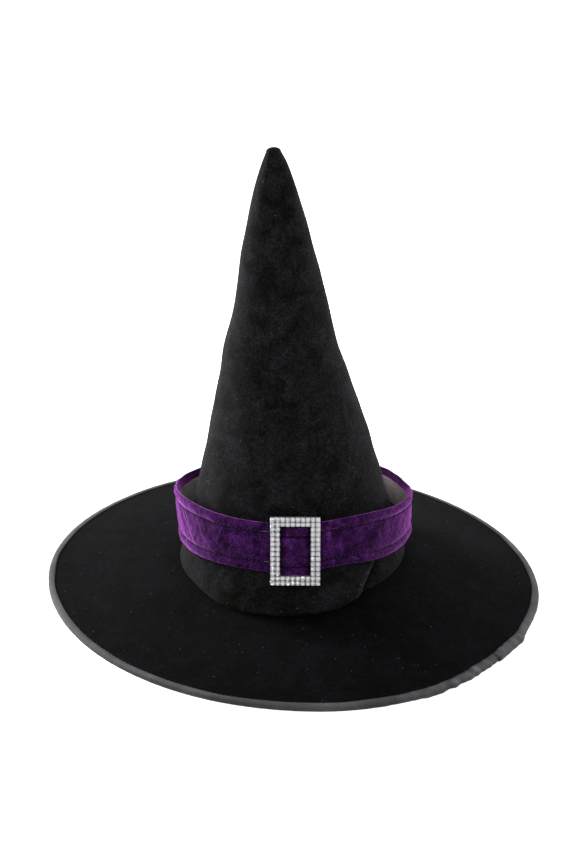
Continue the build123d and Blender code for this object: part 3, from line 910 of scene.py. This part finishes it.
# ---------------- materials
class Look:
    """A node-based material round one Principled shader."""

    def __init__(self, name, **settings):
        self.material = bpy.data.materials.new(name)
        self.material.use_nodes = True
        self.tree = self.material.node_tree
        self.shader = self.tree.nodes["Principled BSDF"]
        self.place = self.node("ShaderNodeTexCoord").outputs["Object"]
        for socket, value in settings.items():
            self.shader.inputs[socket.replace("_", " ")].default_value = value

    def node(self, kind, inputs=(), **properties):
        node = self.tree.nodes.new(kind)
        for name, value in properties.items():
            setattr(node, name, value)
        for name, value in dict(inputs).items():
            self.join(value, node.inputs[name])
        return node

    def join(self, value, socket):
        if isinstance(value, bpy.types.NodeSocket):
            self.tree.links.new(value, socket)
        else:
            socket.default_value = value

    def set(self, socket, value):
        self.join(value, self.shader.inputs[socket])

    def stretched(self, scale):
        """The object's coordinates scaled differently along each axis."""
        node = self.node("ShaderNodeMapping", {"Vector": self.place, "Scale": scale})
        return node.outputs["Vector"]

    def noise(self, scale, detail=4.0, distortion=0.0, place=None):
        inputs = {"Vector": place or self.place, "Scale": scale, "Detail": detail}
        return self.node("ShaderNodeTexNoise", {**inputs, "Distortion": distortion}).outputs["Fac"]

    def between(self, share, low, high, first, last):
        """A value or colour that goes from first to last as share goes from low to high."""
        node = self.node("ShaderNodeValToRGB", {"Fac": share})
        for stop, position, colour in zip(node.color_ramp.elements, (low, high), (first, last)):
            stop.position = position
            stop.color = (*colour, 1) if isinstance(colour, tuple) else (colour, colour, colour, 1)
        return node.outputs["Color"]

    def blend(self, kind, share, first, second):
        node = self.node("ShaderNodeMix", data_type="RGBA", blend_type=kind)
        for index, value in ((0, share), (6, first), (7, second)):
            self.join(value, node.inputs[index])
        return node.outputs[2]

    def shaded(self, colour, share, low, high, least, most):
        """The colour, multiplied by a value that goes from least to most."""
        return self.blend("MULTIPLY", 1.0, colour, self.between(share, low, high, least, most))

    def painted_shading(self, colour, least, most=2.2):
        """The colour, darkened by painted shade and lightened by a painted highlight, as the mesh asks."""
        painted_shading = self.node("ShaderNodeAttribute", attribute_name="painted_shading").outputs["Fac"]
        darker = self.shaded(colour, painted_shading, 0.0, 1.0, 1.0, least)
        limits = {"Value": painted_shading, "From Min": -1.0, "From Max": 0.0, "To Min": most, "To Max": 1.0}
        lighter = self.node("ShaderNodeMapRange", limits).outputs["Result"]
        return self.blend("MULTIPLY", 1.0, darker, lighter)

    def specks(self, scale, size, rarity):
        """Small sparse spots: 1 in a spot and 0 outside."""
        cells = self.node("ShaderNodeTexVoronoi", {"Vector": self.place, "Scale": scale})
        near = self.between(cells.outputs["Distance"], size * 0.6, size, 1.0, 0.0)
        chosen = self.between(cells.outputs["Color"], rarity, rarity + 0.01, 0.0, 1.0)
        return self.blend("MULTIPLY", 1.0, near, chosen)

    def bump(self, *layers):
        """Relief from (height, strength, distance) layers, one on another."""
        normal = None
        for height, strength, distance in layers:
            inputs = {"Height": height, "Strength": strength, "Distance": distance}
            if normal is not None:
                inputs["Normal"] = normal
            normal = self.node("ShaderNodeBump", inputs).outputs["Normal"]
        self.set("Normal", normal)


def velvet(name, dark, light, tint, sheen, sheen_roughness, patch, lint):
    """Crushed pile: cloudy patches where the nap lies differently, fine grain and lint."""
    look = Look(
        name, Roughness=0.95, Specular_IOR_Level=0.03,
        Sheen_Weight=sheen, Sheen_Roughness=sheen_roughness, Sheen_Tint=(*tint, 1),
    )
    clouds = look.noise(patch, 6.0, 0.8)
    blotches = look.noise(300.0, 4.0, 0.6)
    grain = look.noise(720.0, 3.0)
    colour = look.between(clouds, 0.36, 0.66, dark, light)
    colour = look.shaded(colour, blotches, 0.34, 0.66, 0.6, 1.1)
    colour = look.shaded(colour, grain, 0.36, 0.64, 0.4, 1.35)
    if lint:
        colour = look.blend("MIX", look.specks(210.0, 0.085, 0.66), colour, (0.085, 0.085, 0.095, 1))
    # painted shade and highlights carried by the mesh: dark grooves, folds and shadows, light ridges
    look.set("Base Color", look.painted_shading(colour, 0.14))
    look.bump((clouds, 0.3, 1.2 * MM), (blotches, 0.5, 0.7 * MM), (grain, 0.8, 0.5 * MM))
    return look.material


def fibre_cloth(name, dark, light, scale):
    """Thin non-woven or woven cloth with visible fibres."""
    look = Look(name, Roughness=0.9, Specular_IOR_Level=0.2, Sheen_Weight=0.25, Sheen_Roughness=0.5)
    fibres = look.noise(scale, 6.0, 2.0)
    clouds = look.noise(55.0, 3.0)
    colour = look.between(fibres, 0.35, 0.65, dark, light)
    look.set("Base Color", look.shaded(colour, clouds, 0.3, 0.7, 0.8, 1.15))
    look.bump((fibres, 0.4, 0.15 * MM))
    return look.material


def woven_tape(name, dark, light, gloss):
    """Smooth polyester tape with fine lines along it and faint wear."""
    look = Look(name, Roughness=gloss, Specular_IOR_Level=0.15, Sheen_Weight=0.03, Sheen_Roughness=0.4)
    weave = look.noise(900.0, 3.0, 0.2, look.stretched((1.0, 1.0, 3.0)))
    clouds = look.noise(38.0, 4.0, 0.5)
    colour = look.between(clouds, 0.35, 0.68, dark, light)
    colour = look.shaded(colour, weave, 0.3, 0.7, 0.72, 1.25)
    # painted shade along the tape's edges and lap, and on its wrinkles, carried by the mesh
    look.set("Base Color", look.painted_shading(colour, 0.25))
    look.set("Roughness", look.between(weave, 0.3, 0.7, gloss - 0.1, gloss + 0.15))
    look.bump((weave, 0.4, 0.08 * MM))
    return look.material


def ribbed_ribbon(name, dark, light):
    """Grosgrain, whose ribs are in the mesh: here its threads, which run up the ribbon."""
    look = Look(name, Roughness=0.6, Specular_IOR_Level=0.35, Sheen_Weight=0.2, Sheen_Roughness=0.4)
    threads = look.noise(700.0, 3.0, 0.3, look.stretched((1.0, 1.0, 0.25)))
    look.set("Base Color", look.between(threads, 0.35, 0.65, dark, light))
    look.bump((threads, 0.5, 0.2 * MM))
    return look.material


def thread_look(name, dark, light):
    """Twisted thread, with its plies."""
    look = Look(name, Roughness=0.55, Specular_IOR_Level=0.35)
    plies = look.noise(1500.0, 2.0, 0.5)
    look.set("Base Color", look.between(plies, 0.35, 0.65, dark, light))
    look.bump((plies, 0.5, 0.06 * MM))
    return look.material


def plated_metal(name, colour, roughness):
    """Plated metal with a faint unevenness and tiny scratches."""
    look = Look(name, Metallic=1.0)
    wear = look.noise(420.0, 4.0, 0.3)
    scratches = look.noise(900.0, 2.0, 0.0, look.stretched((1.0, 6.0, 1.0)))
    tone = look.between(wear, 0.3, 0.7, tuple(0.86 * c for c in colour), colour)
    look.set("Base Color", tone)
    look.set("Roughness", look.between(wear, 0.25, 0.75, roughness * 0.7, roughness * 1.4))
    look.bump((scratches, 0.12, 0.03 * MM))
    return look.material


def cut_glass(name):
    """Clear glass with a faint film."""
    look = Look(name, Roughness=0.0, IOR=1.56, Transmission_Weight=1.0)
    film = look.noise(300.0, 2.0)
    look.set("Base Color", look.between(film, 0.3, 0.7, (0.93, 0.95, 0.98), (1.0, 1.0, 1.0)))
    look.set("Roughness", look.between(film, 0.4, 0.8, 0.0, 0.03))
    return look.material


# ---------------- stage
SOFTBOX_SIDE = (-0.62, -0.20, 0.76)
WORLD_STRENGTH = (0.35, 1.05)
FLOOR_GLOW = 0.45
LIGHT_AIM = Vector((0, 0, 0.12))
LIGHTS = (
    ("key", (-1.65, 0.97, 0.50), 0.9, 118.0),
    ("top", (0.1, -0.7, 2.2), 1.6, 12.0),
    ("side", (1.5, 0.9, 0.40), 0.8, 32.0),
    ("sparkle_left", (-0.5, -1.4, 1.2), 0.12, 3.0),
    ("sparkle_right", (0.6, -1.3, 0.9), 0.12, 3.0),
)


def make_stage():
    """White floor, a soft world that is brighter on one side, and the lamps."""
    scene = bpy.context.scene
    scene.view_settings.view_transform = "Standard"
    world = bpy.data.worlds.new("studio")
    world.use_nodes = True
    nodes, links = world.node_tree.nodes, world.node_tree.links
    towards = nodes.new("ShaderNodeVectorMath")
    towards.operation = "DOT_PRODUCT"
    towards.inputs[1].default_value = SOFTBOX_SIDE
    links.new(nodes.new("ShaderNodeTexCoord").outputs["Generated"], towards.inputs[0])
    level = nodes.new("ShaderNodeMapRange")
    level.interpolation_type = "SMOOTHSTEP"
    limits = {"From Min": -0.5, "To Min": WORLD_STRENGTH[0], "To Max": WORLD_STRENGTH[1]}
    for socket, value in limits.items():
        level.inputs[socket].default_value = value
    links.new(towards.outputs["Value"], level.inputs["Value"])
    links.new(level.outputs["Result"], nodes["Background"].inputs["Strength"])
    nodes["Background"].inputs["Color"].default_value = (1, 1, 1, 1)
    scene.world = world
    bpy.ops.mesh.primitive_plane_add(size=30)
    floor = bpy.context.object
    floor.name = "floor"
    paper = Look("studio_paper", Roughness=0.95, Specular_IOR_Level=0.0)
    fleck = paper.noise(6.0, 3.0)
    paper.set("Base Color", paper.between(fleck, 0.3, 0.7, 0.875, 0.88))
    paper.set("Emission Color", (1, 1, 1, 1))
    paper.set("Emission Strength", FLOOR_GLOW)
    floor.data.materials.append(paper.material)
    for name, place, size, power in LIGHTS:
        data = bpy.data.lights.new(name, "AREA")
        data.shape = "DISK"
        data.size = size
        data.energy = power
        light = bpy.data.objects.new(name, data)
        light.location = place
        light.rotation_mode = "QUATERNION"
        light.rotation_quaternion = (LIGHT_AIM - Vector(place)).to_track_quat("-Z", "Y")
        scene.collection.objects.link(light)


make_camera()
make_stage()

# ---------------- pieces
cone_velvet = velvet(
    "black_velvet_crown", dark=(0.0034, 0.0034, 0.0027), light=(0.0094, 0.0094, 0.0110),
    tint=(0.85, 0.86, 1.0), sheen=0.034, sheen_roughness=0.30, patch=55.0, lint=True,
)
# painted shade: the brim's velvet is a darker copy of the crown's, for how the light falls on the flat brim
brim_velvet = velvet(
    "black_velvet_brim", dark=(0.0012, 0.0012, 0.0010), light=(0.0028, 0.0028, 0.0040),
    tint=(0.78, 0.80, 1.0), sheen=0.004, sheen_roughness=0.30, patch=40.0, lint=True,
)
purple_velvet = velvet(
    "purple_velvet", dark=(0.009, 0.0018, 0.017), light=(0.044, 0.0090, 0.072),
    tint=(0.80, 0.19, 0.95), sheen=0.72, sheen_roughness=0.33, patch=90.0, lint=False,
)
lining = fibre_cloth("pressed_interlining", (0.012, 0.012, 0.013), (0.032, 0.032, 0.034), 320.0)
taupe = fibre_cloth("taupe_backing", (0.13, 0.105, 0.100), (0.24, 0.195, 0.185), 420.0)
grey_tape = woven_tape("grey_binding_tape", (0.032, 0.032, 0.035), (0.060, 0.060, 0.063), 0.75)
dark_tape = woven_tape("black_cotton_tape", (0.008, 0.008, 0.009), (0.020, 0.020, 0.022), 0.8)
ribbon = ribbed_ribbon("black_grosgrain", (0.006, 0.006, 0.007), (0.020, 0.020, 0.022))
black_thread = thread_look("black_thread", (0.006, 0.006, 0.007), (0.018, 0.018, 0.020))
purple_thread = thread_look("dark_purple_thread", (0.004, 0.0015, 0.007), (0.014, 0.005, 0.022))
steel = plated_metal("spring_steel", (0.50, 0.49, 0.47), 0.3)
aluminium = plated_metal("crimped_aluminium", (0.74, 0.75, 0.76), 0.35)
chrome = plated_metal("bright_plating", (0.98, 0.98, 0.99), 0.15)
# near black plating: partly its dark oxide, partly painted shade for the shadow between the stones
shaded_plate = plated_metal("shaded_plating", (0.07, 0.07, 0.075), 0.35)
glass = cut_glass("clear_cut_glass")
foil = plated_metal("mirror_foil", (0.99, 0.99, 1.0), 0.04)

crown = crown_sheet(
    "crown_velvet_cone", 0.0, VELVET, CROWN_HEIGHTS[-1], cone_velvet, "crown_velvet", "crown_shell"
)
crown_lining = crown_sheet(
    "crown_lining_cone", LINING_IN, LINING_OUT, LINING_TOP, lining, "interlining",
    "crown_interlining", ring=144,
)
seam_strip = back_tape(dark_tape)
sweat_ribbon = head_ribbon(ribbon)
stitches = stitch_parts(crown_path(LINING_OUT + 1.1 * MM, 3 * MM), 150, CROWN_THREAD)
sew("head_ribbon_thread", "hat", black_thread, "sweatband_stitches", stitches)
stitches = stitch_parts(base_path, 150, CROWN_THREAD)
sew("crown_base_thread", "hat", black_thread, "crown_base_stitches", stitches)
top_sheet = brim_sheet(
    "brim_top_velvet", TOP_LOW, TOP_HIGH, CORE_RADIUS, brim_velvet, "brim_velvet", "brim_top"
)
core_sheet = brim_sheet(
    "brim_filling", CORE_LOW, TOP_LOW, CORE_RADIUS - 0.3 * MM, lining, "interlining",
    "brim_core", ring=180,
)
low_sheet = brim_sheet(
    "brim_underside_velvet", UNDERSIDE_LOW, CORE_LOW, CORE_RADIUS, brim_velvet, "brim_velvet",
    "brim_underside",
)
tape_piece = rim_tape("rim_binding_tape", grey_tape)
lap_piece = rim_lap("rim_binding_lap", grey_tape)
lap_share = (LAP_END - LAP_START) / (2 * pi)
stitches = stitch_parts(rim_path, 312, RIM_THREAD, last=1 - lap_share)
sew("rim_binding_thread", "hat", black_thread, "binding_stitches", stitches)
hoop_end, sleeve_half = 0.005, 0.044
wire = hoop_mesh("hoop_wire", 0.8 * MM, WIRE_JOINT + hoop_end, WIRE_JOINT + 2 * pi - hoop_end, 360)
finish_piece(wire, "hat", steel, "wire_steel", "brim_wire")
sleeve = hoop_mesh("hoop_sleeve", 1.05 * MM, WIRE_JOINT - sleeve_half, WIRE_JOINT + sleeve_half, 12)
finish_piece(sleeve, "hat", aluminium, "sleeve_aluminium", "brim_wire_sleeve")

strip = band_velvet_piece(purple_velvet)
backing = band_backing_piece(taupe)

for side, level in (("top", STITCH_LEVEL), ("bottom", -STITCH_LEVEL)):
    stitches = stitch_parts(band_path((0, level), (2 * pi, level)), 176, BAND_THREAD)
    sew(f"band_thread_{side}", "band", purple_thread, f"band_stitch_{side}", stitches)
joint_level = STITCH_LEVEL - 2 * MM
stitches = []
for turn in (radians(85.5), radians(90.5)):
    stitches += stitch_parts(band_path((turn, -joint_level), (turn, joint_level)), 6, BAND_THREAD)
sew("band_joint_thread", "band", purple_thread, "band_joint_stitches", stitches)

bulge = strap_bulge(purple_velvet)
buckle_plate(shaded_plate)
stone_pieces("outer", stone_spots(COLUMNS, ROWS), chrome, glass, foil)
stone_pieces("inner", stone_spots(COLUMNS - 2, ROWS - 2), chrome, glass, foil)
bar = frame["nodes"]["buckle_bar"]
bar.data.materials.clear()
bar.data.materials.append(chrome)
